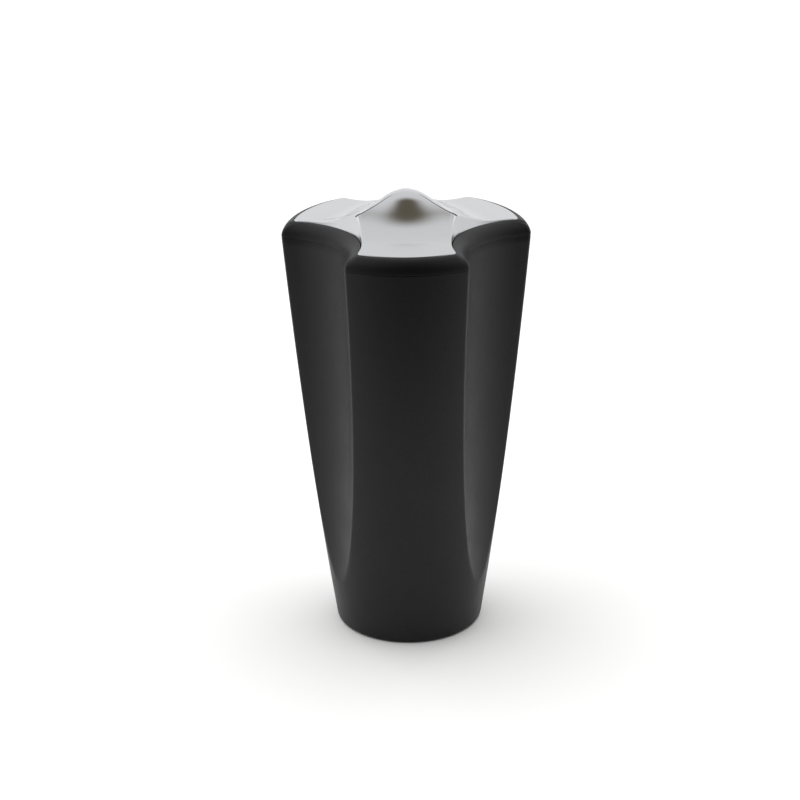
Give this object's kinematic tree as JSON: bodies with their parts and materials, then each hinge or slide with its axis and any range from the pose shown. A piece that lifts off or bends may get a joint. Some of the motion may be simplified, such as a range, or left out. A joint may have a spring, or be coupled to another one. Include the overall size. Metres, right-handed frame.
{
  "type": "tap knob",
  "caption": "Tall black three-lobed tap knob that widens upward, with a peaked silver cap and a threaded brass insert in its narrow end.",
  "frame": {"origin": "centre of the narrow end's flat face, at the mouth of the stem hole", "axes": "+Z along the knob from the narrow end towards the cap, -Y towards the middle of one lobe"},
  "size_m": [0.045, 0.0415, 0.0838],
  "materials": {
    "grip": "fine matt texture",
    "cap": "satin",
    "insert": "turned and knurled"
  },
  "bodies": {
    "root": {"grip_body": "grip", "top_cap": "cap", "threaded_insert": "insert"}
  },
  "joints": []
}
